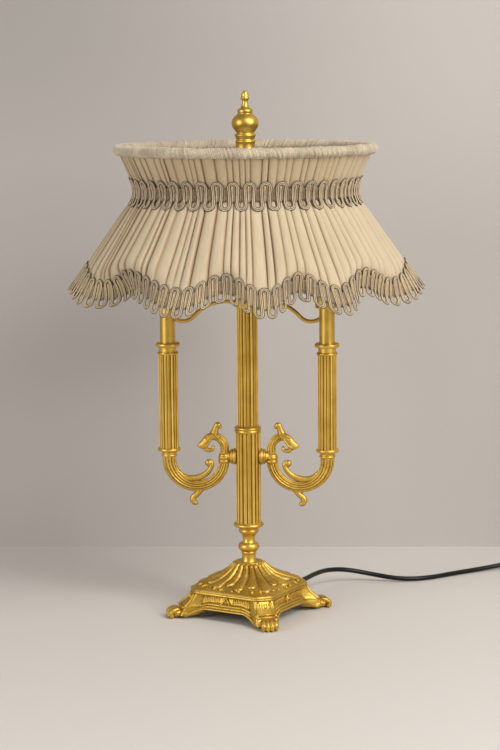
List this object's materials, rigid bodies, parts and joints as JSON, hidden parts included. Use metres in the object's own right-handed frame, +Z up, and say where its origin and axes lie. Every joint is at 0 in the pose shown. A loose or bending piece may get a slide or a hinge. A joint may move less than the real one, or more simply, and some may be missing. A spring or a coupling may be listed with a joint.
{
  "type": "table lamp",
  "caption": "Brass table lamp with a fluted column on a paw-footed base, two scroll arms with candle tubes and a pleated cloth shade with gimp trim.",
  "frame": {"origin": "on the table under the column axis, at the height of the paws' soles", "axes": "+Z up, +X towards the right-hand arm, the picture's viewer on the -Y side"},
  "size_m": [0.6784, 0.4484, 0.5914],
  "materials": {
    "brass": "satin polished golden brass",
    "steel": "zinc plated",
    "iron": "rough casting",
    "contact": "stamped",
    "wire": "insulated flex",
    "ceramic": "matt moulded insulator",
    "bulb_metal": "nickel plated",
    "bulb_glass": "frosted",
    "frame_wire": "cream enamel",
    "yarn": "thick wound yarn",
    "cloth": "pleated cream cotton",
    "gimp": "looped gimp braid",
    "black_plastic": "moulded",
    "white_plastic": "moulded",
    "cord": "smooth black flex",
    "pin_metal": "nickel plated"
  },
  "bodies": {
    "stand": {"base_casting": "brass", "baluster": "brass", "column_dish": "brass", "lower_column": "brass", "mid_collar": "brass", "upper_column": "brass", "column_cap": "brass", "rod_cover": "brass", "brace_band": "brass", "arm_left": "brass", "candle_collar_left": "brass", "candle_sleeve_left": "brass", "candle_cup_left": "brass", "candle_tube_left": "brass", "holder_shell_left": "brass", "brace_left": "brass", "arm_right": "brass", "candle_collar_right": "brass", "candle_sleeve_right": "brass", "candle_cup_right": "brass", "candle_tube_right": "brass", "holder_shell_right": "brass", "brace_right": "brass", "base_washer": "steel", "base_nut": "steel", "centre_rod": "steel", "candle_nipples": "steel", "ballast": "iron", "holder_contacts": "contact", "arm_wires": "wire", "holder_insulator_left": "ceramic", "holder_insulator_right": "ceramic", "strain_relief": "black_plastic", "plug_body": "black_plastic", "switch_base": "black_plastic", "switch_cover": "black_plastic", "coil_tie": "black_plastic", "terminal_block": "white_plastic", "cord_lead": "cord", "cord_tail": "cord", "cord_coil": "cord", "cord_end": "cord", "plug_pins": "pin_metal"},
    "shade": {"shade_rings": "frame_wire", "shade_ribs": "frame_wire", "shade_spider": "frame_wire", "rim_wrap": "yarn", "shade_collar": "cloth", "shade_skirt": "cloth", "waist_trim": "gimp", "hem_trim": "gimp"},
    "finial": {"finial": "brass"},
    "bulb_left": {"bulb_cap_left": "bulb_metal", "bulb_glass_left": "bulb_glass"},
    "bulb_right": {"bulb_cap_right": "bulb_metal", "bulb_glass_right": "bulb_glass"},
    "rocker": {"switch_rocker": "black_plastic"}
  },
  "joints": [
    {"name": "shade_turn", "type": "hinge", "parent": "stand", "child": "shade", "pos_m": [0, 0, 0.513], "axis": [0, 0, 1], "continuous": true},
    {"name": "finial_turn", "type": "hinge", "parent": "stand", "child": "finial", "pos_m": [0, 0, 0.53], "axis": [0, 0, 1], "continuous": true},
    {"name": "bulb_left_turn", "type": "hinge", "parent": "stand", "child": "bulb_left", "pos_m": [-0.09, 0, 0.38], "axis": [0, 0, 1], "continuous": true},
    {"name": "bulb_right_turn", "type": "hinge", "parent": "stand", "child": "bulb_right", "pos_m": [0.09, 0, 0.38], "axis": [0, 0, 1], "continuous": true},
    {"name": "switch_rock", "type": "hinge", "parent": "stand", "child": "rocker", "pos_m": [0.371, 0.24, 0.0134], "axis": [0, 1, 0], "range_deg": [0, 18]}
  ]
}
